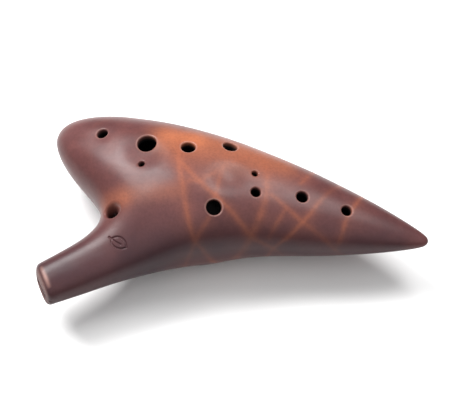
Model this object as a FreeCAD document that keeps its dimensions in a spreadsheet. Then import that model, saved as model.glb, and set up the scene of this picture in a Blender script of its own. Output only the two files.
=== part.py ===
import FreeCAD, Part
import math
import os

# A twelve-hole alto ocarina in fired clay, in millimetres.
#
# Frame: +X runs along the chamber to the pointed tail, +Y is the side away from the
# mouthpiece and +Z comes out of the finger-hole face.  The origin is under the middle
# of the bounding box, on the table.
#
# Outer shape: a chamber whose squarish cross-section changes along a bowed axis, run
# smoothly into a mouthpiece.  Both are level sets, so one function gives the outer
# skin, the air chamber a wall thickness inside it, and the direction of each hole.

os.makedirs("parts", exist_ok=True)
document = FreeCAD.newDocument("Ocarina")
sheet = document.addObject("Spreadsheet::Sheet", "Sizes")

SIZES = {
    # where the blunt end of the chamber axis lies in the frame
    "lobe_end_x": -92.26,
    "lobe_end_y": 31.515,
    "seam_height": 23.88,
    # chamber: length, fullness from the blunt end to the tail, and bow of its axis
    "body_length": 184.8,
    "lobe_fullness": 59.1,
    "shoulder_fullness": 63.9,
    "waist_fullness": 42.1,
    "tail_fullness": 18.5,
    "shoulder_bow": -12.2,
    "waist_bow": -5.9,
    "tail_bow": -2.1,
    "body_flatness": 0.78,
    # mouthpiece: tip position from the blunt end, heading, and cross-section
    "tip_x": 22.9,
    "tip_y": -77.0,
    "mouth_heading": 42.15,
    "mouth_half_width": 8.96,
    "mouth_thinness": 1.379,
    "mouth_flare": 0.03,
    "mouth_taper": 0.00119,
    "mouth_rounding": 0.00436,
    "mouth_reach": 70.3,
    "root_blend": 55.8,
    "mouth_length": 32.0,
    "tip_edge_radius": 1.9,
    # clay wall, joining slip and the strap post in the crotch
    "wall_offset": 4.4,
    "slip_thickness": 0.6,
    "strap_x": 43.3,
    "strap_y": -37.2,
    "strap_post_radius": 6.2,
    "strap_hole": 4.4,
    "strap_countersink": 7.6,
    "countersink_depth": 2.4,
    # windway, window and labium
    "windway_length": 47.0,
    "windway_drop": 10.3,
    "windway_in_width": 9.5,
    "windway_in_height": 3.6,
    "windway_out_width": 7.0,
    "windway_out_height": 1.4,
    "window_length": 5.2,
    "labium_length": 13.0,
    "labium_depth": 9.5,
    "labium_rise": 3.0,
    # hole diameters
    "left_little_hole": 5.2,
    "left_ring_hole": 8.8,
    "left_sub_hole": 2.9,
    "left_middle_hole": 6.6,
    "left_index_hole": 6.8,
    "right_index_hole": 6.9,
    "right_middle_hole": 4.5,
    "right_sub_hole": 2.8,
    "right_ring_hole": 5.4,
    "right_little_hole": 4.8,
    "left_thumb_hole": 8.5,
    "right_thumb_hole": 7.5,
}
for row, (alias, value) in enumerate(SIZES.items(), start=1):
    sheet.set(f"A{row}", alias)
    sheet.set(f"B{row}", str(value))
    sheet.setAlias(f"B{row}", alias)
document.recompute()


def size(alias):
    return float(sheet.get(alias))


BODY_LENGTH = size("body_length")
FULLNESS = [size(name) ** 2 for name in
            ("lobe_fullness", "shoulder_fullness", "waist_fullness", "tail_fullness")]
BOW = [0.0] + [size(name) for name in ("shoulder_bow", "waist_bow", "tail_bow")]
FLATNESS = size("body_flatness")
BODY_SQUARENESS = 2.3
SOFT_CORE = 19.1
TIP_X = size("tip_x")
TIP_Y = size("tip_y")
HEADING = math.radians(size("mouth_heading"))
INWARD = (math.cos(HEADING), math.sin(HEADING))
MOUTH_HALF_WIDTH = size("mouth_half_width")
MOUTH_THINNESS = size("mouth_thinness")
MOUTH_FLARE = size("mouth_flare")
MOUTH_TAPER = size("mouth_taper")
MOUTH_ROUNDING = size("mouth_rounding")
MOUTH_REACH = size("mouth_reach")
MOUTH_SQUARENESS = 2.5
ROOT_BLEND = size("root_blend")
CROTCH_SIDE = 24.0
LOBE_END = FreeCAD.Vector(size("lobe_end_x"), size("lobe_end_y"), size("seam_height"))


def cubic(values, u):
    """Bezier cubic through its end values."""
    v = 1 - u
    return (values[0] * v ** 3 + 3 * values[1] * u * v ** 2
            + 3 * values[2] * u ** 2 * v + values[3] * u ** 3)


def cubic_slope(values, u):
    v = 1 - u
    return 3 * ((values[1] - values[0]) * v ** 2 + 2 * (values[2] - values[1]) * u * v
                + (values[3] - values[2]) * u ** 2)


def chamber_level(x, y, z):
    """About the distance outside the chamber's own skin, negative inside."""
    u = min(max(x / BODY_LENGTH, 0.0), 1.0)
    fullness = cubic(FULLNESS, u)
    radius_squared = u * (1 - u) * fullness
    slope = ((1 - 2 * u) * fullness + u * (1 - u) * cubic_slope(FULLNESS, u)) / BODY_LENGTH
    across = y - cubic(BOW, u)
    beyond = x - u * BODY_LENGTH
    spread = (abs(across) ** BODY_SQUARENESS
              + abs(z / FLATNESS) ** BODY_SQUARENESS) ** (2 / BODY_SQUARENESS)
    steepness = math.sqrt(slope ** 2 + 4 * across ** 2 + 4 * z ** 2 / FLATNESS ** 4
                          + SOFT_CORE ** 2)
    return (spread + beyond ** 2 - radius_squared) / steepness


def along_mouthpiece(x, y):
    """Distances inward from the tip and to the side of the mouthpiece axis."""
    dx = x - TIP_X
    dy = y - TIP_Y
    return dx * INWARD[0] + dy * INWARD[1], dx * INWARD[1] - dy * INWARD[0]


def mouthpiece_level(x, y, z):
    inward, side = along_mouthpiece(x, y)
    reached = min(max(inward, 0.0), MOUTH_REACH)
    half_width = MOUTH_HALF_WIDTH + MOUTH_FLARE * reached - MOUTH_TAPER * reached ** 2
    rise = z * MOUTH_THINNESS * (1 - MOUTH_ROUNDING * reached)
    spread = (abs(side) ** MOUTH_SQUARENESS
              + abs(rise) ** MOUTH_SQUARENESS) ** (1 / MOUTH_SQUARENESS)
    return math.hypot(spread, max(inward - MOUTH_REACH, 0.0)) - half_width


def level(x, y, z):
    """The whole outer form: chamber and mouthpiece run together."""
    chamber = chamber_level(x, y, z)
    mouthpiece = mouthpiece_level(x, y, z)
    overlap = max(ROOT_BLEND - abs(chamber - mouthpiece), 0.0) / ROOT_BLEND
    return min(chamber, mouthpiece) - overlap ** 3 * ROOT_BLEND / 6


def rounded_start(start, rounding):
    """The form's level function with the mouthpiece ended round at a distance inward."""
    def ended(x, y, z):
        skin = level(x, y, z)
        inward, side = along_mouthpiece(x, y)
        before = start - inward + 2 * min(side + CROTCH_SIDE, 0.0)
        corner = math.hypot(max(skin + rounding, 0.0), max(before + rounding, 0.0))
        return corner + min(max(skin, before) + rounding, 0.0) - rounding
    return ended


def crossing(inside_test, near, far):
    """Where a ray leaves the form, between a point inside it and one outside."""
    for _ in range(34):
        middle = 0.5 * (near + far)
        if inside_test(middle):
            near = middle
        else:
            far = middle
    return 0.5 * (near + far)


# ---- forms sampled from the level function ------------------------------------------

CENTRE = (68.0, -25.5)
RING_POINTS = 112
RING_STEPS = 12


def outline_headings(form_level, offset):
    """Headings from the centre that space points evenly along the widest outline."""
    fine = 1440
    points = []
    for index in range(fine + 1):
        heading = 2 * math.pi * index / fine
        reach = crossing(lambda r: form_level(CENTRE[0] + r * math.cos(heading),
                                              CENTRE[1] + r * math.sin(heading), 0.0)
                         < -offset, 0.0, 160.0)
        points.append((heading, reach))
    travelled = [0.0]
    for (h0, r0), (h1, r1) in zip(points, points[1:]):
        step = math.sqrt(r0 ** 2 + r1 ** 2 - 2 * r0 * r1 * math.cos(h1 - h0))
        travelled.append(travelled[-1] + step)
    chosen = []
    index = 0
    for number in range(RING_POINTS):
        wanted = travelled[-1] * number / RING_POINTS
        while travelled[index + 1] < wanted:
            index += 1
        share = (wanted - travelled[index]) / (travelled[index + 1] - travelled[index])
        heading = points[index][0] + share * (points[index + 1][0] - points[index][0])
        reach = points[index][1] + share * (points[index + 1][1] - points[index][1])
        chosen.append((heading, reach))
    return chosen


def closed_curve(points):
    curve = Part.BSplineCurve()
    spacing = [number / len(points) for number in range(len(points) + 1)]
    curve.interpolate(Points=points, Parameters=spacing, PeriodicFlag=True)
    return Part.Wire([curve.toShape()])


def domed_form(form_level, offset):
    """A closed solid through rings that shrink from the seam outline to both crowns."""
    outline = outline_headings(form_level, offset)

    def height(x, y):
        return crossing(lambda z: form_level(x, y, z) < -offset, 0.0, 40.0)

    def ring(scale, side):
        points = []
        for heading, reach in outline:
            x = CENTRE[0] + scale * reach * math.cos(heading)
            y = CENTRE[1] + scale * reach * math.sin(heading)
            z = 0.0 if scale == 1 else side * height(x, y)
            points.append(FreeCAD.Vector(x, y, z))
        return closed_curve(points)

    scales = [math.sin(0.5 * math.pi * step / RING_STEPS) for step in range(1, RING_STEPS)]
    crown = height(*CENTRE)
    sections = [Part.Vertex(CENTRE[0], CENTRE[1], -crown)]
    sections += [ring(scale, -1) for scale in scales]
    sections += [ring(1, 1)]
    sections += [ring(scale, 1) for scale in reversed(scales)]
    sections += [Part.Vertex(CENTRE[0], CENTRE[1], crown)]
    return Part.makeLoft(sections, True, False)


def seam_plate(form_level, offset, thickness):
    """The form's widest outline as a flat plate through the seam."""
    points = [FreeCAD.Vector(CENTRE[0] + reach * math.cos(heading),
                             CENTRE[1] + reach * math.sin(heading), -thickness / 2)
              for heading, reach in outline_headings(form_level, offset)]
    return Part.Face(closed_curve(points)).extrude(FreeCAD.Vector(0, 0, thickness))


def tube_section(inward, drawn_in):
    """The outline square to the mouthpiece axis, drawn in all round by a distance."""
    x = TIP_X + inward * INWARD[0]
    y = TIP_Y + inward * INWARD[1]
    points = []
    for number in range(40):
        turn = 2 * math.pi * number / 40
        side = math.cos(turn)
        rise = math.sin(turn)
        reach = crossing(lambda r: level(x + r * side * INWARD[1],
                                         y - r * side * INWARD[0],
                                         r * rise) < 0, 0.0, 24.0) - drawn_in
        points.append(FreeCAD.Vector(x + reach * side * INWARD[1],
                                     y - reach * side * INWARD[0],
                                     reach * rise))
    return closed_curve(points)


def tube_form(length, edge_radius):
    """The mouthpiece: a plain tube behind a tip whose rim is rounded over."""
    rim = []
    for turn in (0, 22.5, 45, 67.5, 90):
        angle = math.radians(turn)
        rim.append(tube_section(edge_radius * (1 - math.cos(angle)),
                                edge_radius * (1 - math.sin(angle))))
    tube = [tube_section(edge_radius + (length - edge_radius) * step / 5, 0.0)
            for step in range(6)]
    return Part.makeLoft(rim, True, False).fuse(Part.makeLoft(tube, True, False))


def add_form(label, shape):
    form = document.addObject("Part::Feature", label)
    form.Shape = shape
    form.Placement = FreeCAD.Placement(LOBE_END, FreeCAD.Rotation())
    return form


def bind(target, **expressions):
    for name, expression in expressions.items():
        target.setExpression(name, expression)
    return target


def fuse(label, shapes):
    joined = document.addObject("Part::MultiFuse", label)
    joined.Shapes = shapes
    return joined


def cut(label, base, tool):
    result = document.addObject("Part::Cut", label)
    result.Base = base
    result.Tool = tool
    return result


def common(label, base, tool):
    result = document.addObject("Part::Common", label)
    result.Base = base
    result.Tool = tool
    return result


def in_frame(x, y, z):
    """A point given from the blunt end, at the seam, as a point of the frame."""
    return LOBE_END + FreeCAD.Vector(x, y, z)


def on_mouthpiece(inward, side, rise):
    return in_frame(TIP_X + inward * INWARD[0] + side * INWARD[1],
                    TIP_Y + inward * INWARD[1] - side * INWARD[0], rise)


AIRFLOW = FreeCAD.Rotation(FreeCAD.Vector(0, 0, 1), math.degrees(HEADING))

MOUTH_LENGTH = size("mouth_length")
SLIP = size("slip_thickness")
WALL_OFFSET = size("wall_offset")
hull_level = rounded_start(20.0, 6.0)
chamber_level_set = rounded_start(42.0, 8.0)
hull_form = add_form("hull_form", domed_form(hull_level, 0.0))
hull_plate = add_form("hull_plate", seam_plate(hull_level, 0.0, SLIP))
chamber_form = add_form("chamber_form", domed_form(chamber_level_set, WALL_OFFSET))
chamber_plate = add_form("chamber_plate", seam_plate(chamber_level_set, WALL_OFFSET, SLIP))
mouth_form = add_form("mouth_form", tube_form(MOUTH_LENGTH, size("tip_edge_radius")))

# ---- joint planes -------------------------------------------------------------------


def joint_box(label, inward, length, width, height):
    """A box square to the mouthpiece axis, centred on it."""
    box = document.addObject("Part::Box", label)
    box.Length = length
    box.Width = width
    box.Height = height
    corner = on_mouthpiece(inward, width / 2, -height / 2)
    box.Placement = FreeCAD.Placement(corner, AIRFLOW)
    return box


beyond_joint = joint_box("beyond_joint", -4.0, MOUTH_LENGTH + SLIP + 4.0, 56.0, 60.0)
bind(beyond_joint, Length="(Sizes.mouth_length + Sizes.slip_thickness + 4) * 1 mm")

strap_column = document.addObject("Part::Cylinder", "strap_column")
bind(strap_column, Radius="Sizes.strap_post_radius * 1 mm")
strap_column.Height = 60
strap_column.Placement = FreeCAD.Placement(
    in_frame(size("strap_x"), size("strap_y"), -30), FreeCAD.Rotation())


def half_space(label, bottom):
    """A box over the whole plan, 60 mm high from a level given from the seam."""
    box = document.addObject("Part::Box", label)
    box.Length = 260
    box.Width = 160
    box.Height = 60
    box.Placement = FreeCAD.Placement(in_frame(-30, -110, bottom), FreeCAD.Rotation())
    return box


above_seam = half_space("above_seam", SLIP / 2)
below_seam = half_space("below_seam", -SLIP / 2 - 60)

# ---- windway, window and labium ------------------------------------------------------

DROP = math.atan2(size("windway_drop"), size("windway_length"))
DOWNWARD = AIRFLOW.multiply(FreeCAD.Rotation(FreeCAD.Vector(0, 1, 0), math.degrees(DROP)))

# The wedge's own Y is the airflow, X the width and Z the height.
windway = document.addObject("Part::Wedge", "windway")
bind(windway,
     Xmin="-Sizes.windway_in_width / 2 * 1 mm", Xmax="Sizes.windway_in_width / 2 * 1 mm",
     Zmin="-Sizes.windway_in_height / 2 * 1 mm", Zmax="Sizes.windway_in_height / 2 * 1 mm",
     X2min="-Sizes.windway_out_width / 2 * 1 mm", X2max="Sizes.windway_out_width / 2 * 1 mm",
     Z2min="-Sizes.windway_out_height / 2 * 1 mm",
     Z2max="Sizes.windway_out_height / 2 * 1 mm")
windway.Ymin = -2
windway.Ymax = math.hypot(size("windway_length"), size("windway_drop")) + 0.5
quarter_turn = FreeCAD.Rotation(FreeCAD.Vector(0, 0, 1), -90)
windway.Placement = FreeCAD.Placement(on_mouthpiece(0, 0, 0), DOWNWARD.multiply(quarter_turn))

WINDOW_START = size("windway_length")
WINDOW_WIDTH = size("windway_out_width")
window_pocket = document.addObject("Part::Box", "window_pocket")
bind(window_pocket,
     Length="(Sizes.window_length + Sizes.labium_length) * 1 mm",
     Width="Sizes.windway_out_width * 1 mm")
window_pocket.Height = 26
window_pocket.Placement = FreeCAD.Placement(
    on_mouthpiece(WINDOW_START, WINDOW_WIDTH / 2, -30), AIRFLOW)

labium_body = document.addObject("PartDesign::Body", "labium_wedge")
side_plane = next(feature for feature in labium_body.Origin.OriginFeatures
                  if feature.Role == "XZ_Plane")
labium_sketch = labium_body.newObject("Sketcher::SketchObject", "labium_outline")
labium_sketch.AttachmentSupport = [(side_plane, "")]
labium_sketch.MapMode = "FlatFace"
edge = FreeCAD.Vector(0, 0, 0)
back_top = FreeCAD.Vector(size("labium_length"), size("labium_rise"), 0)
back_bottom = FreeCAD.Vector(size("labium_length"), -size("labium_depth"), 0)
corners = [edge, back_bottom, back_top]
for start, end in zip(corners, corners[1:] + corners[:1]):
    labium_sketch.addGeometry(Part.LineSegment(start, end), False)
labium_pad = labium_body.newObject("PartDesign::Pad", "labium_pad")
labium_pad.Profile = labium_sketch
bind(labium_pad, Length="Sizes.windway_out_width * 1 mm")
labium_pad.Midplane = True
labium_body.Placement = FreeCAD.Placement(
    on_mouthpiece(WINDOW_START + size("window_length"), 0, -size("windway_drop")), AIRFLOW)

# ---- finger holes, thumb holes and the strap hole ------------------------------------


def skin_height(x, y):
    return crossing(lambda z: level(x, y, z) < 0, 0.0, 40.0)


def outward_normal(x, y, z):
    step = 0.05
    gradient = FreeCAD.Vector(level(x + step, y, z) - level(x - step, y, z),
                              level(x, y + step, z) - level(x, y - step, z),
                              level(x, y, z + step) - level(x, y, z - step))
    return gradient.normalize()


def drill(alias, x, y, face):
    """A cylinder square to the skin, on the finger face (1) or the thumb face (-1)."""
    z = face * skin_height(x, y)
    normal = outward_normal(x, y, z)
    cylinder = document.addObject("Part::Cylinder", alias + "_drill")
    bind(cylinder, Radius=f"Sizes.{alias} / 2 * 1 mm")
    cylinder.Height = 20
    turn = FreeCAD.Rotation(FreeCAD.Vector(0, 0, 1), normal)
    start = in_frame(x, y, z) - normal * 13
    cylinder.Placement = FreeCAD.Placement(start, turn)
    return cylinder


FINGER_HOLES = {
    "left_little_hole": (24.7, -1.1),
    "left_ring_hole": (47.6, -2.3),
    "left_sub_hole": (49.1, -14.2),
    "left_middle_hole": (67.0, 0.6),
    "left_index_hole": (84.7, 8.6),
    "right_index_hole": (88.0, -26.2),
    "right_middle_hole": (103.3, -12.4),
    "right_sub_hole": (100.1, -3.2),
    "right_ring_hole": (123.5, -6.4),
    "right_little_hole": (144.2, -5.1),
}
THUMB_HOLES = {
    "left_thumb_hole": (60.0, 2.0),
    "right_thumb_hole": (108.0, -17.0),
}
finger_drills = fuse("finger_drills", [drill(alias, x, y, 1)
                                       for alias, (x, y) in FINGER_HOLES.items()])
thumb_drills = fuse("thumb_drills", [drill(alias, x, y, -1)
                                     for alias, (x, y) in THUMB_HOLES.items()])

strap_bore = document.addObject("Part::Cylinder", "strap_bore")
bind(strap_bore, Radius="Sizes.strap_hole / 2 * 1 mm")
strap_bore.Height = 60
strap_bore.Placement = strap_column.Placement
strap_height = skin_height(size("strap_x"), size("strap_y"))


def countersink(label, face):
    """A shallow cone square to the skin, as wide as stated where it meets the skin."""
    z = face * strap_height
    normal = outward_normal(size("strap_x"), size("strap_y"), z)
    cone = document.addObject("Part::Cone", label)
    bind(cone, Radius1="Sizes.strap_hole / 2 * 1 mm",
         Radius2="(Sizes.strap_countersink - Sizes.strap_hole / 2) * 1 mm",
         Height="2 * Sizes.countersink_depth * 1 mm")
    start = in_frame(size("strap_x"), size("strap_y"), z) - normal * size("countersink_depth")
    cone.Placement = FreeCAD.Placement(
        start, FreeCAD.Rotation(FreeCAD.Vector(0, 0, 1), normal))
    return cone


strap_cutters = fuse("strap_cutters", [strap_bore, countersink("strap_mouth_above", 1),
                                       countersink("strap_mouth_below", -1)])

# ---- the pieces ----------------------------------------------------------------------

wall_voids = fuse("wall_voids", [chamber_form, beyond_joint, strap_column, windway])
shell_wall = cut("shell_wall", hull_form, wall_voids)
wall_above = common("wall_above", shell_wall, above_seam)
upper_shell = cut("upper_shell", wall_above, finger_drills)
seam_voids = fuse("seam_voids", [chamber_plate, beyond_joint, strap_column, windway])
seam_slip = cut("seam_slip", hull_plate, seam_voids)
wall_below = common("wall_below", shell_wall, below_seam)
lower_shell = cut("lower_shell", wall_below, fuse("under_cutters", [thumb_drills, window_pocket]))
strap_post = cut("strap_post", common("strap_web", hull_form, strap_column), strap_cutters)
labium = common("labium", labium_body, hull_form)

slip_plate = joint_box("slip_plate", MOUTH_LENGTH, SLIP, 50.0, 60.0)
bind(slip_plate, Length="Sizes.slip_thickness * 1 mm")
mouthpiece_slip = cut("mouthpiece_slip", common("joint_layer", hull_form, slip_plate), windway)

floor_side = document.addObject("Part::Box", "floor_side")
floor_side.Length = 70
floor_side.Width = 60
floor_side.Height = 40
floor_side.Placement = FreeCAD.Placement(
    on_mouthpiece(0, 30, 0) - DOWNWARD.multVec(FreeCAD.Vector(10, 0, 40)), DOWNWARD)

floor_blank = common("floor_blank", mouth_form, floor_side)
windway_floor = cut("windway_floor", floor_blank, windway)
windway_roof = cut("windway_roof", mouth_form, fuse("below_roof", [floor_side, windway]))

document.recompute()

PIECES = [upper_shell, lower_shell, seam_slip, strap_post, labium, mouthpiece_slip,
          windway_roof, windway_floor]

for item in document.Objects:
    if "Invalid" in item.State or "Error" in item.State:
        raise RuntimeError(f"{item.Label} did not compute: {item.State}")
for piece in PIECES:
    shape = piece.Shape
    if shape.isNull() or not shape.isValid() or shape.Volume < 1:
        raise RuntimeError(f"{piece.Label} has no valid shape")
    if len(shape.Solids) != 1:
        raise RuntimeError(f"{piece.Label} is {len(shape.Solids)} solids")
    shape.exportStep(f"parts/{piece.Label}.step")
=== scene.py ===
import math
from itertools import product

import bmesh
import bpy
import numpy as np
from mathutils import Matrix, Vector


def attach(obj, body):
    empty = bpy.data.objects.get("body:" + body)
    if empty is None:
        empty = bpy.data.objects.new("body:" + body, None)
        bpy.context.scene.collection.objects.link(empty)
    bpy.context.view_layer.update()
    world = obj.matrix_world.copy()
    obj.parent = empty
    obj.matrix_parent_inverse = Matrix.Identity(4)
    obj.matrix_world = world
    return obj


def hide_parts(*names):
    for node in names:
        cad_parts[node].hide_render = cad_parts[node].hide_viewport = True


# A twelve-hole alto ocarina.  The clay is one field of signed distances in millimetres
# from the blunt end of the chamber, meshed once with all its holes, then cut into the
# pieces along the same joints as the frame's nodes.

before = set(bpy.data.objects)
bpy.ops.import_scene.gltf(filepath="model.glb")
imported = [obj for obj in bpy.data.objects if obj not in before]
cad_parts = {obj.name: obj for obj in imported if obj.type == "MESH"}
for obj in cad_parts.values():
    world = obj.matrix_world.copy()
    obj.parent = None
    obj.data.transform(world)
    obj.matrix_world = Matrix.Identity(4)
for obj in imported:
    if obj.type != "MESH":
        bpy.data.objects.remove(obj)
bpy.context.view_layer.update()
MM = 0.001

# ---- the outer form: the frame's, with a rounded tail and a leaning tip --------------

LOBE_END = np.array([-92.26, 31.515, 23.88])
BODY_LENGTH = 184.8
NOSE_START = 180.6
NOSE_LENGTH = 3.2
FULLNESS = [width ** 2 for width in (59.1, 63.9, 42.1, 22.0)]
BOW = [0.0, -12.2, -5.9, -3.0]
FLATNESS = 0.78
SQUARENESS = 2.3
SOFT_CORE = 19.1
TIP = np.array([22.45, -77.4])
HEADING = math.radians(42.15)
INWARD = np.array([math.cos(HEADING), math.sin(HEADING)])
MOUTH_HALF_WIDTH = 8.96
MOUTH_FLARE = 0.03
MOUTH_TAPER = 0.00119
MOUTH_THINNESS = 1.379
MOUTH_ROUNDING = 0.00436
MOUTH_SQUARENESS = 2.5
MOUTH_REACH = 70.9
ROOT_BLEND = 55.8
# past this far to the side of the mouthpiece the air chamber reaches further back
CROTCH_SIDE = 24.0
TIP_SETBACK = 0.6
TIP_EDGE = 1.1
TIP_LEAN = 0.16
TIP_CROWN = 0.0001
LIP_DEPTH = 1.1
LIP_LENGTH = 3.8
MOUTH_LENGTH = 32.0
SLIP = 0.6
WALL = 4.4
CHAMBER_START = 42.0
CHAMBER_ROUNDING = 8.0
# the skin is drawn in by this, give or take the unevenness of three waves
SKIN_INSET = 0.10
UNEVENNESS = 0.03


def cubic(values, u):
    """A cubic Bezier's value."""
    v = 1 - u
    return (values[0] * v ** 3 + 3 * values[1] * u * v ** 2
            + 3 * values[2] * u ** 2 * v + values[3] * u ** 3)


def cubic_slope(values, u):
    """How fast that value changes with u."""
    v = 1 - u
    return 3 * ((values[1] - values[0]) * v ** 2 + 2 * (values[2] - values[1]) * u * v
                + (values[3] - values[2]) * u ** 2)


def chamber_level(x, y, z):
    """About the distance outside the chamber, negative within it."""
    u = np.clip(x / BODY_LENGTH, 0, 1)
    fullness = cubic(FULLNESS, u)
    slope = ((1 - 2 * u) * fullness + u * (1 - u) * cubic_slope(FULLNESS, u)) / BODY_LENGTH
    across = y - cubic(BOW, u)
    beyond = x - u * BODY_LENGTH
    spread = (np.abs(across) ** SQUARENESS
              + np.abs(z / FLATNESS) ** SQUARENESS) ** (2 / SQUARENESS)
    steepness = np.sqrt(slope ** 2 + 4 * across ** 2 + 4 * z ** 2 / FLATNESS ** 4
                        + SOFT_CORE ** 2)
    nose = np.maximum(x - NOSE_START, 0) / NOSE_LENGTH
    radius_squared = u * (1 - u) * fullness * (1 - nose ** 4)
    return (spread + beyond ** 2 - radius_squared) / steepness


def along_mouthpiece(x, y):
    """Distances inward from the tip and to the side of the mouthpiece axis."""
    dx = x - TIP[0]
    dy = y - TIP[1]
    return dx * INWARD[0] + dy * INWARD[1], dx * INWARD[1] - dy * INWARD[0]


def mouthpiece_level(x, y, z):
    """The same for the mouthpiece, endless towards the tip."""
    inward, side = along_mouthpiece(x, y)
    reached = np.clip(inward, 0, MOUTH_REACH)
    half_width = MOUTH_HALF_WIDTH + MOUTH_FLARE * reached - MOUTH_TAPER * reached ** 2
    rise = z * MOUTH_THINNESS * (1 - MOUTH_ROUNDING * reached)
    spread = (np.abs(side) ** MOUTH_SQUARENESS
              + np.abs(rise) ** MOUTH_SQUARENESS) ** (1 / MOUTH_SQUARENESS)
    return np.hypot(spread, np.maximum(inward - MOUTH_REACH, 0)) - half_width


def level(x, y, z):
    """Chamber and mouthpiece run smoothly into each other."""
    chamber = chamber_level(x, y, z)
    mouthpiece = mouthpiece_level(x, y, z)
    overlap = np.maximum(ROOT_BLEND - np.abs(chamber - mouthpiece), 0) / ROOT_BLEND
    return np.minimum(chamber, mouthpiece) - overlap ** 3 * ROOT_BLEND / 6


def carve(clay, void, rounding):
    """Takes a void out of the clay and rounds over the edge that it leaves."""
    a = clay + rounding
    b = void + rounding
    corner = np.hypot(np.maximum(a, 0), np.maximum(b, 0))
    return corner + np.minimum(np.maximum(a, b), 0) - rounding


def skin_point(x, y, face):
    """The point of the skin over a place in plan, and the outward normal there."""
    heights = face * np.linspace(0, 40, 8001)
    inside = level(np.full(len(heights), x), np.full(len(heights), y), heights) < 0
    place = np.array([x, y, heights[np.argmin(inside)]])
    nudge = 0.05 * np.eye(3)
    steps = np.concatenate([place + nudge, place - nudge])
    values = level(*steps.T)
    normal = values[:3] - values[3:]
    return place, normal / np.linalg.norm(normal)


# ---- holes, windway and window -------------------------------------------------------

# place in plan, face, diameter
HOLES = [
    (24.7, -1.1, 1, 5.2), (47.6, -2.3, 1, 8.8), (49.1, -14.2, 1, 2.9), (67.0, 0.6, 1, 6.6),
    (84.7, 8.6, 1, 6.8), (88.0, -26.2, 1, 6.9), (103.3, -12.4, 1, 4.5),
    (100.1, -3.2, 1, 2.8), (123.5, -6.4, 1, 5.4), (144.2, -5.1, 1, 4.8),
    (60.0, 2.0, -1, 8.5), (108.0, -17.0, -1, 7.5),
]
BORES = [(*skin_point(x, y, face), face, diameter / 2) for x, y, face, diameter in HOLES]
BORE_DEPTH = 11.0
RIM = 0.75
STRAP = np.array([43.3, -37.2])
STRAP_RADIUS = 2.2
STRAP_RIM = 2.5
STRAP_POST = 6.2
WINDWAY_LENGTH = 47.0
WINDWAY_START_DROP = 2.2
WINDWAY_DROP = 10.3
# width and height of the windway at the tip, and how much it loses by the window
WINDWAY_WIDTH = 9.5
WINDWAY_HEIGHT = 3.0
WINDWAY_NARROWING = 2.5
WINDWAY_THINNING = 1.6
WINDWAY_SLOPE = math.atan2(WINDWAY_DROP - WINDWAY_START_DROP, WINDWAY_LENGTH)
WINDOW_LENGTH = 5.2
WINDOW_WIDTH = 7.0
WINDOW_TOP = -4.0
# the labium's upper face rises and its lower face falls by these over its length
LABIUM_LENGTH = 13.0
LABIUM_TOP = 3.0
LABIUM_FOOT = 9.5
LABIUM_STEEPNESS = 15.0
# rounding of the edges inside, and of the windway and window
INNER_EDGE = 0.5
SHARP_EDGE = 0.35

# shallow dishes that a fingertip rests in: middle in plan, reach along the skin, depth
DISHES = [
    (48.3, -7.5, 15.0, 1.1), (89.5, -9.5, 12.5, 0.95), (67.0, 0.6, 10.0, 0.6),
    (24.7, -1.1, 8.5, 0.35),
]


def dished(x, y, z, skin):
    """The skin pressed in by a fingertip at each dish."""
    for middle_x, middle_y, reach, depth in DISHES:
        gap = np.hypot(x - middle_x, y - middle_y) / reach
        skin = skin + depth * np.where(z > 0, np.maximum(1 - gap ** 2, 0) ** 3, 0)
    return skin


def hull(x, y, z):
    """The whole outside, uneven as hands leave it, with the tip cut and its rim rounded."""
    inward, side = along_mouthpiece(x, y)
    hand = (np.sin(0.11 * x + 0.16 * y + 0.07 * z) + np.sin(0.19 * x - 0.09 * y + 0.21 * z)
            + np.sin(0.05 * x + 0.23 * y - 0.17 * z))
    skin = dished(x, y, z, level(x, y, z) + SKIN_INSET + UNEVENNESS * hand)
    lip = np.clip(1 - (inward - TIP_LEAN * z) / LIP_LENGTH, 0, 1) ** 2
    skin += LIP_DEPTH * lip * (z > 0)
    end = TIP_SETBACK + TIP_LEAN * z + TIP_CROWN * np.minimum(np.abs(side), 10) ** 4
    return carve(skin, end - inward, TIP_EDGE)


def air_chamber(x, y, skin):
    """The air, a wall inside the skin and shut off from the mouthpiece."""
    inward, side = along_mouthpiece(x, y)
    before = CHAMBER_START - inward + 2 * np.minimum(side + CROTCH_SIDE, 0)
    return carve(skin, before, CHAMBER_ROUNDING) + WALL


def windway(x, y, z):
    """The sloping channel, positive inside it, smaller towards the window."""
    inward, side = along_mouthpiece(x, y)
    over = z + WINDWAY_START_DROP
    run = inward * math.cos(WINDWAY_SLOPE) - over * math.sin(WINDWAY_SLOPE)
    rise = inward * math.sin(WINDWAY_SLOPE) + over * math.cos(WINDWAY_SLOPE)
    length = WINDWAY_LENGTH / math.cos(WINDWAY_SLOPE)
    share = np.clip(run / length, 0, 1)
    half_width = (WINDWAY_WIDTH - WINDWAY_NARROWING * share) / 2
    half_height = (WINDWAY_HEIGHT - WINDWAY_THINNING * share) / 2
    ends = length + 0.5 - run
    return np.minimum(np.minimum(half_width - np.abs(side), half_height - np.abs(rise)), ends)


def window(x, y, z):
    """The window cut up to the windway, less the labium wedge that stands in it."""
    inward, side = along_mouthpiece(x, y)
    past = inward - WINDWAY_LENGTH
    pocket = np.minimum(np.minimum(past, WINDOW_LENGTH + LABIUM_LENGTH - past),
                        np.minimum(WINDOW_WIDTH / 2 - np.abs(side), WINDOW_TOP - z))
    beyond_edge = past - WINDOW_LENGTH
    over = z + WINDWAY_DROP
    wedge = np.minimum(LABIUM_TOP * beyond_edge - LABIUM_LENGTH * over,
                       LABIUM_LENGTH * over + LABIUM_FOOT * beyond_edge) / LABIUM_STEEPNESS
    return np.minimum(pocket, -wedge)


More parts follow.
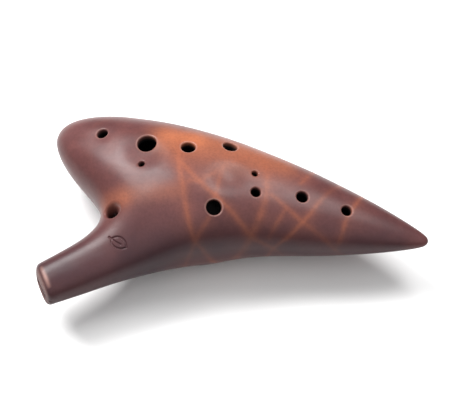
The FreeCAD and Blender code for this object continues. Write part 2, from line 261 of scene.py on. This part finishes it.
# a small leaf scratched beside the root of the mouthpiece: strokes in plan
LEAF = [
    [(47.5, -50.5), (49.2, -49.2), (51.6, -49.0), (53.9, -50.2), (55.4, -52.4)],
    [(47.5, -50.5), (48.6, -52.6), (50.8, -53.7), (53.3, -53.6), (55.4, -52.4)],
    [(46.2, -49.9), (49.4, -51.2), (52.4, -51.9)],
]


def to_line(points, line):
    """Distance of points from a run of straight steps."""
    nearest = np.full(len(points), 1e9)
    for start, end in zip(line[:-1], line[1:]):
        step = end - start
        share = np.clip((points - start) @ step / (step @ step), 0, 1)
        gap = np.linalg.norm(points - start - share[:, None] * step, axis=1)
        nearest = np.minimum(nearest, gap)
    return nearest


def smooth_line(corners, steps=6):
    """A Catmull-Rom curve through the corners."""
    corners = np.array(corners, float)
    padded = np.vstack([2 * corners[0] - corners[1], corners, 2 * corners[-1] - corners[-2]])
    points = []
    for a, b, c, d in zip(padded, padded[1:], padded[2:], padded[3:]):
        for t in np.arange(steps) / steps:
            points.append(0.5 * (2 * b + (c - a) * t + (2 * a - 5 * b + 4 * c - d) * t ** 2
                                 + (3 * b - a - 3 * c + d) * t ** 3))
    return np.array(points + [corners[-1]])


LEAF_LINES = [smooth_line(stroke) for stroke in LEAF]
LEAF_GROOVE = 0.42
LEAF_EDGE = 0.2
# middle of the rectangle that the leaf is cut in, and of the finer mesh round it
LEAF_MIDDLE = (51.0, -51.5)
LEAF_FINE_MIDDLE = (51.0, -51.3)
# how far each cut reaches to the side of its middle
NEAR_BORE = 14
NEAR_STRAP = 12
NEAR_WINDWAY = 9
NEAR_LEAF = (8, 6)
PAST_WINDOW = 72


def clay(points):
    """Signed distance of the clay: negative in the walls, positive in the air.

    Each hole is cut only at the points near it, to save time."""
    x, y, z = points.T
    outside = hull(x, y, z)
    solid = carve(outside, -air_chamber(x, y, level(x, y, z)), INNER_EDGE)
    for place, normal, face, radius in BORES:
        near = (np.abs(x - place[0]) < NEAR_BORE) & (np.abs(y - place[1]) < NEAR_BORE)
        near &= face * z > -2
        offset = points[near] - place
        height = offset @ normal
        off_axis = np.sqrt(np.maximum((offset ** 2).sum(1) - height ** 2, 0))
        void = np.minimum(radius - off_axis, height + BORE_DEPTH)
        solid[near] = carve(solid[near], void, RIM)
    near = (np.abs(x - STRAP[0]) < NEAR_STRAP) & (np.abs(y - STRAP[1]) < NEAR_STRAP)
    off_axis = np.hypot(x[near] - STRAP[0], y[near] - STRAP[1])
    solid[near] = carve(solid[near], STRAP_RADIUS - off_axis, STRAP_RIM)
    inward, side = along_mouthpiece(x, y)
    near = (np.abs(side) < NEAR_WINDWAY) & (inward < PAST_WINDOW)
    here = (x[near], y[near], z[near])
    solid[near] = carve(solid[near], windway(*here), SHARP_EDGE)
    solid[near] = carve(solid[near], window(*here), SHARP_EDGE)
    near = np.abs(x - LEAF_MIDDLE[0]) < NEAR_LEAF[0]
    near &= (np.abs(y - LEAF_MIDDLE[1]) < NEAR_LEAF[1]) & (z > 0) & (np.abs(outside) < 3)
    if near.any():
        gap = np.min([to_line(points[near][:, :2], line) for line in LEAF_LINES], axis=0)
        groove = LEAF_GROOVE - np.hypot(gap, outside[near])
        solid[near] = carve(solid[near], groove, LEAF_EDGE)
    return solid


# ---- meshing -------------------------------------------------------------------------


def surface_net(values, low, step):
    """Points and four-sided faces of a grid's zero surface, one point in each cell."""
    inside = values < 0
    cells = tuple(count - 1 for count in values.shape)
    corners = np.zeros(cells, np.int8)
    for i, j, k in product((0, 1), repeat=3):
        corners += inside[i:i + cells[0], j:j + cells[1], k:k + cells[2]]
    mixed = (corners > 0) & (corners < 8)
    number = np.full(cells, -1)
    number[mixed] = np.arange(mixed.sum())
    points = (np.argwhere(mixed) + 0.5) * step + low
    faces = []
    for axis in range(3):
        order = (axis, (axis + 1) % 3, (axis + 2) % 3)
        here = np.transpose(inside, order)[:, 1:-1, 1:-1]
        cell = np.transpose(number, order)
        around = np.stack([cell[:, :-1, :-1], cell[:, 1:, :-1],
                           cell[:, 1:, 1:], cell[:, :-1, 1:]], axis=-1)
        leaving = here[:-1] & ~here[1:]
        entering = ~here[:-1] & here[1:]
        faces += [around[leaving], around[entering][:, ::-1]]
    return points, np.concatenate(faces)


SLOPE_STEP = 0.02


def slope_of(points):
    """The way out of the clay at each point, by central differences."""
    gradient = np.empty_like(points)
    for axis in range(3):
        step = np.zeros(3)
        step[axis] = SLOPE_STEP
        gradient[:, axis] = (clay(points + step) - clay(points - step)) / (2 * SLOPE_STEP)
    return gradient


def onto_surface(points, reach, rounds=3):
    """Moves points to the surface by Newton steps no longer than a reach."""
    for _ in range(rounds):
        gradient = slope_of(points)
        steepness = np.maximum((gradient ** 2).sum(1), 0.1)
        move = gradient * (clay(points) / steepness)[:, None]
        length = np.linalg.norm(move, axis=1, keepdims=True)
        points = points - move * np.minimum(1, reach / np.maximum(length, 1e-9))
    return points


def evened(points, faces, rounds):
    """Slides points along the surface towards the middle of their neighbours."""
    edges = np.concatenate([faces[:, [a, (a + 1) % 4]] for a in range(4)])
    edges = np.unique(np.sort(edges, axis=1), axis=0)
    ends = np.concatenate([edges, edges[:, ::-1]])
    count = np.bincount(ends[:, 0], minlength=len(points))[:, None]
    for _ in range(rounds):
        total = np.stack([np.bincount(ends[:, 0], points[ends[:, 1], axis], len(points))
                          for axis in range(3)], axis=1)
        move = total / count - points
        gradient = slope_of(points)
        normal = gradient / np.maximum(np.linalg.norm(gradient, axis=1, keepdims=True), 1e-9)
        move -= normal * (move * normal).sum(1, keepdims=True)
        points = onto_surface(points + 0.6 * move, 0.5, 1)
    return points


def refine(data, zones):
    """Splits the faces near each (place, reach) of the zones, back onto the surface."""
    shape = bmesh.new()
    shape.from_mesh(data)
    for zone in zones:
        points = np.array([vertex.co for vertex in shape.verts])
        close = np.zeros(len(points), bool)
        for place, reach in zone:
            close |= np.linalg.norm(points - place, axis=1) < reach
        shape.verts.index_update()
        edges = [edge for edge in shape.edges
                 if close[edge.verts[0].index] and close[edge.verts[1].index]]
        made = bmesh.ops.subdivide_edges(shape, edges=edges, cuts=1, use_grid_fill=True)
        fresh = [item for item in made["geom_inner"] if isinstance(item, bmesh.types.BMVert)]
        settled = onto_surface(np.array([vertex.co for vertex in fresh]), 0.3)
        for vertex, place in zip(fresh, settled):
            vertex.co = place
    shape.to_mesh(data)
    shape.free()


# grid step and the corners of the box that it fills
GRID = 0.62
LOW = np.array([-2.0, -86.0, -25.6])
HIGH = np.array([186.5, 23.0, 25.6])


def whole_clay():
    """One mesh of all the clay, finer round the holes, the leaf and the tip."""
    counts = np.ceil((HIGH - LOW) / GRID).astype(int) + 1
    axes = [LOW[axis] + GRID * np.arange(counts[axis]) for axis in range(3)]
    values = np.empty(counts)
    for index, x in enumerate(axes[0]):
        y, z = np.meshgrid(axes[1], axes[2], indexing="ij")
        sheet = np.stack([np.full(y.size, x), y.ravel(), z.ravel()], axis=1)
        values[index] = clay(sheet).reshape(y.shape)
    points, faces = surface_net(values, LOW, GRID)
    points = onto_surface(points, 0.6 * GRID)
    points = evened(points, faces, 3)
    data = bpy.data.meshes.new("whole_clay")
    data.from_pydata(points.tolist(), [], faces.tolist())
    rims = [(place, radius + 2.2) for place, _, _, radius in BORES]
    strap_top, _ = skin_point(STRAP[0], STRAP[1], 1)
    strap_foot, _ = skin_point(STRAP[0], STRAP[1], -1)
    leaf, _ = skin_point(*LEAF_FINE_MIDDLE, 1)
    tip = np.array([TIP[0], TIP[1], 0.0])
    wide = rims + [(strap_top, 6.5), (strap_foot, 6.5), (leaf, 6.8), (tip, 11.0)]
    refine(data, [wide, [(leaf, 6.2)]])
    return data


# ---- cutting into pieces -------------------------------------------------------------


def block(inward, side, height):
    """A cutter box given by its ranges along and across the mouthpiece, and in height."""
    shape = bmesh.new()
    bmesh.ops.create_cube(shape, size=1.0)
    for vertex in shape.verts:
        a = inward[0] if vertex.co.x < 0 else inward[1]
        s = side[0] if vertex.co.y < 0 else side[1]
        h = height[0] if vertex.co.z < 0 else height[1]
        plan = TIP + a * INWARD + s * np.array([INWARD[1], -INWARD[0]])
        vertex.co = (plan[0], plan[1], h)
    bmesh.ops.recalc_face_normals(shape, faces=shape.faces)
    return as_object("cutter", shape)


def as_object(name, shape):
    data = bpy.data.meshes.new(name)
    shape.to_mesh(data)
    shape.free()
    made = bpy.data.objects.new(name, data)
    bpy.context.scene.collection.objects.link(made)
    return made


def column():
    """The strap post's cutter."""
    shape = bmesh.new()
    bmesh.ops.create_cone(shape, cap_ends=True, segments=96, radius1=STRAP_POST,
                          radius2=STRAP_POST, depth=80)
    bmesh.ops.translate(shape, verts=shape.verts, vec=(STRAP[0], STRAP[1], 0))
    return as_object("cutter", shape)


def below_windway():
    """The side of the windway's sloping middle plane that its floor lies on."""
    cutter = block((-20, 60), (-35, 35), (-60, 0))
    axis = Vector((INWARD[1], -INWARD[0], 0))
    pivot = Vector((TIP[0], TIP[1], 0))
    start = Vector((TIP[0], TIP[1], -WINDWAY_START_DROP))
    turn = Matrix.Translation(start) @ Matrix.Rotation(-WINDWAY_SLOPE, 4, axis)
    cutter.data.transform(turn @ Matrix.Translation(-pivot))
    return cutter


EVERYWHERE = (-200, 400)
MOUTH_SIDES = (-28, 28)
cutters = {
    "above": block(EVERYWHERE, EVERYWHERE, (SLIP / 2, 60)),
    "seam": block(EVERYWHERE, EVERYWHERE, (-SLIP / 2, SLIP / 2)),
    "below": block(EVERYWHERE, EVERYWHERE, (-60, -SLIP / 2)),
    "mouth": block((-10, MOUTH_LENGTH), MOUTH_SIDES, (-60, 60)),
    "mouth_joint": block((MOUTH_LENGTH, MOUTH_LENGTH + SLIP), MOUTH_SIDES, (-60, 60)),
    "to_joint": block((-10, MOUTH_LENGTH + SLIP), MOUTH_SIDES, (-60, 60)),
    "column": column(),
    "pocket": block((WINDWAY_LENGTH, WINDWAY_LENGTH + WINDOW_LENGTH + LABIUM_LENGTH),
                    (-WINDOW_WIDTH / 2, WINDOW_WIDTH / 2), (-30, WINDOW_TOP)),
    "floor_side": below_windway(),
}

RECIPES = {
    "upper_shell": (("keep", "above"), ("drop", "to_joint"), ("drop", "column")),
    "lower_shell": (("keep", "below"), ("drop", "to_joint"), ("drop", "column"),
                    ("drop", "pocket")),
    "seam_slip": (("keep", "seam"), ("drop", "to_joint"), ("drop", "column")),
    "strap_post": (("keep", "column"),),
    "labium": (("keep", "pocket"),),
    "mouthpiece_slip": (("keep", "mouth_joint"),),
    "windway_roof": (("keep", "mouth"), ("drop", "floor_side")),
    "windway_floor": (("keep", "mouth"), ("keep", "floor_side")),
}


def cut_piece(name, source, steps):
    """A piece of the source mesh, kept inside or dropped from each cutter in turn."""
    piece = bpy.data.objects.new(name, source)
    bpy.context.scene.collection.objects.link(piece)
    for action, cutter in steps:
        modifier = piece.modifiers.new(cutter, "BOOLEAN")
        modifier.operation = "INTERSECT" if action == "keep" else "DIFFERENCE"
        modifier.solver = "MANIFOLD"
        modifier.object = cutters[cutter]
    bpy.context.view_layer.update()
    graph = bpy.context.evaluated_depsgraph_get()
    data = bpy.data.meshes.new_from_object(piece.evaluated_get(graph))
    data.name = name
    piece.modifiers.clear()
    piece.data = data
    return piece


# ---- how the firing marked the clay, with painted shade and highlights ---------------

# Burnt straws left orange lines: strength, half width, and the way each one lay.
STRAWS = [
    (0.9, 1.5, [(62, 2, 21), (66, -10, 23), (71, -20, 24), (77, -32, 21), (83, -40, 13),
                (88, -41, 5), (92, -39, -7), (97, -28, -20), (104, -8, -21)]),
    (0.7, 1.4, [(87, -31, 19), (84, -40, 13), (80, -45, -4), (76, -38, -18),
                (70, -20, -24)]),
    (0.9, 1.5, [(65, -8, 23), (75, -15, 24), (87, -21, 22), (100, -27, 16), (107, -30, 10),
                (118, -28, 1), (124, -22, -11), (130, -8, -13)]),
    (0.6, 1.7, [(74, -18, 24), (79, -15, 23), (87, -4, 22), (93, 4, 19), (99, 8, 17)]),
    (0.6, 1.3, [(87, -21, 22), (86, -13, 22), (86, -7, 22), (85, 2, 21)]),
    (0.8, 2.0, [(100, 9, 16), (106, -4, 19), (108, -14, 18), (108, -22, 16),
                (107, -29, 12), (105, -33, 5), (101, -34, -5), (96, -24, -20)]),
    (0.8, 1.3, [(110, -11, 18), (118, -14, 16), (125, -17, 14), (135, -19, 9),
                (140, -20, 6), (145, -20, 0), (150, -14, -8)]),
    (0.6, 1.2, [(118, -15, 16), (116, -22, 14), (114, -27, 9)]),
    (0.7, 1.3, [(126, 13, 6), (124, 10, 11), (121, 0, 16)]),
    (0.9, 1.2, [(141, 10, 4), (138, 8, 9), (132, -4, 14), (129, -13, 14), (126, -19, 13),
                (123, -24, 10), (117, -29, 3), (112, -27, -12), (104, -12, -20)]),
    (0.9, 1.3, [(151, 9, 3), (149, 7, 7), (147, -1, 11), (145, -9, 11), (145, -14, 10),
                (144, -19, 4), (141, -17, -8), (136, -4, -12)]),
    (0.7, 1.5, [(20, 10, -16), (40, -6, -23), (62, -18, -24), (90, -12, -22),
                (122, 4, -14)]),
    (0.6, 1.4, [(44, 18, -12), (58, -2, -24), (68, -30, -22), (72, -44, -10)]),
]
# broad flashes: strength, reach, and the line they spread from
FLASHES = [
    (0.75, 7.0, [(56, 5, 20), (61, 4, 21), (68, 6, 20)]),
    (0.5, 8.5, [(56, 3, 21), (68, 6, 20), (82, 8, 19), (96, 9, 17), (110, 7, 15)]),
    (0.3, 9.0, [(66, -4, 22), (80, -2, 22), (98, 2, 19)]),
    (0.32, 4.5, [(38, -34, 9), (42, -32, 14), (47, -32, 17)]),
    (0.25, 5.0, [(47, -30, 18), (58, -27, 21), (70, -24, 23)]),
]
# darker places, given the same way: some smoke, and painted shade low on the near side where
# the clay turns down from the lights
SMOKE_AND_SHADE = [
    (0.85, 15.0, [(24, -77, -1), (36, -66, 0), (48, -58, -2), (62, -52, -5)]),
    (0.65, 13.0, [(62, -50, 6), (78, -43, 8), (94, -37, 6), (112, -30, 3), (140, -21, 0),
                  (165, -12, 0)]),
]
# a straw line's core is narrower than its half width, inside a wider, fainter halo
STRAW_NARROWING = 1.2
STRAW_STRENGTH = 0.6
HALO_STRENGTH = 0.35
HALO_WIDTH = 2.6
# lighter rings round the holes, a painted highlight on their rounded rims with some wear:
# how far out from the bore, how wide, and the bore radius under which they are fainter
RIM_GAP = 0.45
RIM_WIDTH = 0.35
WIDE_BORE = 3.2
# painted highlight in a strip behind the tip, on the bevel of its top: how far in, how wide,
# middle and half length
LIP_GAP = 2.5
LIP_WIDTH = 0.85
LIP_SIDE = -0.4
LIP_HALF_LENGTH = 6.0
LIP_HIGHLIGHT = 1.5
# the face of the tip ends this far in, and is lighter too
TIP_FACE = 1.4
TIP_LIGHTENING = 0.9
# depth at which the clay starts to look unlit, in a hole and in the strap post, and the
# further depth over which it goes dark
UNLIT_FROM = 0.6
UNLIT_FROM_IN_POST = 2.0
UNLIT_OVER = 1.8


def straw_share(points):
    """Each point's share of orange line: a core and a faint halo along each straw."""
    bare = np.ones(len(points))
    for strength, half_width, corners in STRAWS:
        gap = STRAW_NARROWING * to_line(points, smooth_line(corners, 4)) / half_width
        line = np.exp(-gap ** 2) + HALO_STRENGTH * np.exp(-(gap / HALO_WIDTH) ** 2)
        bare *= 1 - STRAW_STRENGTH * strength * line
    return 1 - bare


def broad_share(points, marks):
    """Each point's share of broad marks, which fade away from their lines."""
    bare = np.ones(len(points))
    for strength, reach, corners in marks:
        gap = to_line(points, smooth_line(corners, 3))
        bare *= 1 - strength * np.exp(-(gap / reach) ** 2)
    return 1 - bare


def wear_and_highlight_share(points, from_tip, side):
    """Each point's share of lighter clay: painted highlight with some wear round the holes, a
    painted highlight behind the tip, and the tip's face.
    """
    wear_and_glint = np.zeros(len(points))
    for place, normal, _, radius in BORES:
        offset = points - place
        height = offset @ normal
        off_axis = np.sqrt(np.maximum((offset ** 2).sum(1) - height ** 2, 0))
        edge = np.exp(-((off_axis - radius - RIM_GAP) / RIM_WIDTH) ** 2)
        edge *= min(radius / WIDE_BORE, 1) ** 2
        wear_and_glint = np.maximum(wear_and_glint, np.where(np.abs(height) < 4, edge, 0))
    # the painted highlight on the bevel strip behind the tip
    lips = np.exp(-((from_tip - LIP_GAP) / LIP_WIDTH) ** 2) * (points[:, 2] > 0)
    lips *= np.clip(1 - np.abs(side - LIP_SIDE) / LIP_HALF_LENGTH, 0, 1) ** 0.5
    face = np.clip(TIP_FACE - from_tip, 0, 1)
    return np.maximum(wear_and_glint, np.maximum(LIP_HIGHLIGHT * lips, TIP_LIGHTENING * face))


def firing_marks(piece):
    """Writes the straw lines, flashes, smoke and painted shade, wear and painted highlights,
    the tip's face and the painted shade of depth at each point of a piece.
    """
    points = np.empty(len(piece.data.vertices) * 3)
    piece.data.vertices.foreach_get("co", points)
    points = points.reshape(-1, 3)
    inward, side = along_mouthpiece(points[:, 0], points[:, 1])
    from_tip = inward - TIP_LEAN * points[:, 2]
    to_strap = np.hypot(points[:, 0] - STRAP[0], points[:, 1] - STRAP[1])
    unlit_from = np.where(to_strap < STRAP_POST, UNLIT_FROM_IN_POST, UNLIT_FROM)
    depth = -hull(*points.T)
    marks = {"straw": straw_share(points), "flash": broad_share(points, FLASHES),
             "smoke_and_shade": broad_share(points, SMOKE_AND_SHADE), "rim": wear_and_highlight_share(points, from_tip, side),
             "matt": np.clip(TIP_FACE - from_tip, 0, 1),
             "inside": np.clip((depth - unlit_from) / UNLIT_OVER, 0, 1) ** 0.7}
    for name, values in marks.items():
        attribute = piece.data.attributes.new(name, "FLOAT", "POINT")
        attribute.data.foreach_set("value", values.astype(np.float32))


# ---- material ------------------------------------------------------------------------

MAUVE_DARK = (0.088, 0.033, 0.033, 1)
MAUVE_LIGHT = (0.120, 0.047, 0.047, 1)
REDDENED = (0.175, 0.062, 0.052, 1)
FLASH_ORANGE = (0.42, 0.135, 0.062, 1)
STRAW_ORANGE = (0.29, 0.090, 0.050, 1)
# painted shade low on the near side, with some smoke
SMOKE_AND_SHADE_DARK = (0.028, 0.018, 0.025, 1)
SPECKLED = (0.05, 0.02, 0.018, 1)
# painted highlight round the holes and behind the tip, with some wear
WORN_AND_HIGHLIGHT = (0.36, 0.20, 0.17, 1)
UNLIT = (0.004, 0.003, 0.003, 1)


class Nodes:
    """Short ways to add and join shader nodes."""

    def __init__(self, name):
        self.material = bpy.data.materials.new(name)
        self.material.use_nodes = True
        self.tree = self.material.node_tree
        self.tree.nodes.clear()

    def add(self, kind, inputs=(), **settings):
        node = self.tree.nodes.new(kind)
        for key, value in settings.items():
            setattr(node, key, value)
        for key, value in dict(inputs).items():
            if isinstance(value, bpy.types.NodeSocket):
                self.tree.links.new(value, node.inputs[key])
            else:
                node.inputs[key].default_value = value
        return node

    def math(self, operation, a, b=0.0, clamp=False):
        return self.add("ShaderNodeMath", {0: a, 1: b}, operation=operation,
                        use_clamp=clamp).outputs[0]

    def ramp(self, value, low, high, to_low=0.0, to_high=1.0):
        return self.add("ShaderNodeMapRange",
                        {"Value": value, "From Min": low, "From Max": high,
                         "To Min": to_low, "To Max": to_high},
                        interpolation_type="SMOOTHSTEP").outputs["Result"]

    def mix(self, share, a, b, blend="MIX"):
        node = self.add("ShaderNodeMix", data_type="RGBA", blend_type=blend)
        for key, value in ((0, share), (6, a), (7, b)):
            if isinstance(value, bpy.types.NodeSocket):
                self.tree.links.new(value, node.inputs[key])
            else:
                node.inputs[key].default_value = value
        return node.outputs[2]

    def noise(self, place, scale, detail=3.0, roughness=0.5, distortion=0.0):
        return self.add("ShaderNodeTexNoise",
                        {"Vector": place, "Scale": scale, "Detail": detail,
                         "Roughness": roughness, "Distortion": distortion}
                        ).outputs["Fac"]

    def attribute(self, name):
        return self.add("ShaderNodeAttribute", attribute_name=name).outputs["Fac"]


def fired_clay():
    """Burnished, straw-fired clay: mauve brown, with orange lines and flashes, painted shade
    and painted highlights.
    """
    n = Nodes("fired_clay")
    place = n.add("ShaderNodeTexCoord").outputs["Object"]
    cloud = n.noise(place, 38.0, 4.0, 0.55, 0.4)
    patch = n.noise(place, 95.0, 3.0, 0.6)
    grain = n.noise(place, 900.0, 2.0, 0.6)
    body = n.mix(n.ramp(cloud, 0.3, 0.7), MAUVE_DARK, MAUVE_LIGHT)
    reddened = n.math("MULTIPLY", n.ramp(patch, 0.35, 0.75), 0.35)
    body = n.mix(reddened, body, REDDENED)
    flash = n.math("MULTIPLY", n.attribute("flash"), n.ramp(cloud, 0.2, 0.65, 0.65, 1.0))
    body = n.mix(flash, body, FLASH_ORANGE)
    straw = n.math("MULTIPLY", n.attribute("straw"), n.ramp(patch, 0.25, 0.6, 0.6, 1.0))
    body = n.mix(straw, body, STRAW_ORANGE)
    # darkened by smoke and by painted shade low on the near side
    body = n.mix(n.attribute("smoke_and_shade"), body, SMOKE_AND_SHADE_DARK)
    speckle = n.math("MULTIPLY", n.ramp(grain, 0.35, 0.75), 0.22)
    body = n.mix(speckle, body, SPECKLED)
    # lighter: painted highlights round the holes and behind the tip, some wear, and the tip's
    # face
    wear_and_glint = n.math("MULTIPLY", n.attribute("rim"), n.ramp(patch, 0.3, 0.6, 0.25, 0.55))
    body = n.mix(wear_and_glint, body, WORN_AND_HIGHLIGHT)
    body = n.mix(n.attribute("inside"), body, UNLIT)
    strokes = n.add("ShaderNodeMapping", {"Vector": place, "Scale": (0.35, 1.0, 1.0),
                                          "Rotation": (0, 0, 0.35)}).outputs[0]
    burnish = n.noise(strokes, 160.0, 3.0, 0.5)
    unpolished = n.math("MAXIMUM", n.attribute("inside"), n.attribute("matt"))
    rough = n.math("ADD", n.ramp(burnish, 0.3, 0.7, 0.28, 0.36),
                   n.math("MULTIPLY", unpolished, 0.4))
    texture = n.math("ADD", burnish, n.math("MULTIPLY", grain, 0.35))
    bump = n.add("ShaderNodeBump", {"Strength": 0.12, "Distance": 0.0003,
                                    "Height": texture})
    shader = n.add("ShaderNodeBsdfPrincipled",
                   {"Base Color": body, "Roughness": rough, "Normal": bump.outputs[0],
                    "IOR": 1.4, "Specular IOR Level": 0.25})
    output = n.add("ShaderNodeOutputMaterial", {"Surface": shader.outputs[0]})
    n.tree.nodes.active = output
    return n.material


# ---- the pieces ----------------------------------------------------------------------

whole = whole_clay()
clay_material = fired_clay()
to_frame = Matrix.Scale(MM, 4) @ Matrix.Translation(Vector(LOBE_END))
for name, steps in RECIPES.items():
    piece = cut_piece("clay_" + name, whole, steps)
    firing_marks(piece)
    piece.data.transform(to_frame)
    piece.data.materials.clear()
    piece.data.materials.append(clay_material)
    piece.data.shade_smooth()
    piece.data.set_sharp_from_angle(angle=math.radians(38))
    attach(piece, "root")
    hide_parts(name)
for cutter in cutters.values():
    bpy.data.objects.remove(cutter)

# ---- floor, light and camera ---------------------------------------------------------

floor_shape = bmesh.new()
bmesh.ops.create_grid(floor_shape, x_segments=2, y_segments=2, size=3.0)
floor = as_object("floor", floor_shape)
floor_nodes = Nodes("pale_floor")
floor_shader = floor_nodes.add("ShaderNodeBsdfPrincipled",
                               {"Base Color": (0.9, 0.9, 0.9, 1), "Roughness": 0.7})
floor_nodes.add("ShaderNodeOutputMaterial", {"Surface": floor_shader.outputs[0]})
floor.data.materials.append(floor_nodes.material)

# a dome that is dim at the horizon and bright overhead
world = bpy.data.worlds.new("studio")
world.use_nodes = True
sky = world.node_tree
direction = sky.nodes.new("ShaderNodeTexCoord")
height = sky.nodes.new("ShaderNodeVectorMath")
height.operation = "DOT_PRODUCT"
height.inputs[1].default_value = (0.0, -0.2, 0.97)
dome = sky.nodes.new("ShaderNodeMapRange")
dome.inputs["From Min"].default_value = 0.35
dome.inputs["From Max"].default_value = 0.90
dome.inputs["To Min"].default_value = 0.07
dome.inputs["To Max"].default_value = 1.02
sky.links.new(direction.outputs["Generated"], height.inputs[0])
sky.links.new(height.outputs["Value"], dome.inputs["Value"])
sky.links.new(dome.outputs[0], sky.nodes["Background"].inputs["Strength"])
sky.nodes["Background"].inputs["Color"].default_value = (1, 1, 1, 1)
bpy.context.scene.world = world


def soft_box(name, place, size, watts, target=(0, 0, 0.02)):
    """A rectangle of light turned to the object."""
    data = bpy.data.lights.new(name, "AREA")
    data.shape = "RECTANGLE"
    data.size, data.size_y = size
    data.energy = watts
    box = bpy.data.objects.new(name, data)
    box.location = place
    direction = Vector(target) - Vector(place)
    box.rotation_mode = "QUATERNION"
    box.rotation_quaternion = direction.to_track_quat("-Z", "Y")
    bpy.context.scene.collection.objects.link(box)


def towards(azimuth, elevation, distance):
    """A place seen from the object, azimuth clockwise from +Y, in degrees."""
    a = math.radians(azimuth)
    e = math.radians(elevation)
    return (distance * math.sin(a) * math.cos(e), distance * math.cos(a) * math.cos(e),
            distance * math.sin(e))


soft_box("left_box", towards(-64, 49, 0.8), (0.40, 0.26), 7.6)
soft_box("back_box", towards(20, 58, 0.8), (0.40, 0.22), 3.5)
bpy.context.scene.view_settings.view_transform = "Standard"

camera_data = bpy.data.cameras.new("camera")
camera_data.lens = 85.0
camera_data.sensor_width = 36.0
camera = bpy.data.objects.new("camera", camera_data)
TARGET = Vector((-0.00370, 0.01951, 0.02346))
YAW = math.radians(17.5)
RISE = math.radians(60.0)
DISTANCE = 0.4966
back = Vector((math.sin(YAW) * math.cos(RISE), -math.cos(YAW) * math.cos(RISE),
               math.sin(RISE)))
camera.location = TARGET + back * DISTANCE
camera.rotation_mode = "QUATERNION"
camera.rotation_quaternion = (-back).to_track_quat("-Z", "Y")
bpy.context.scene.collection.objects.link(camera)
bpy.context.scene.camera = camera
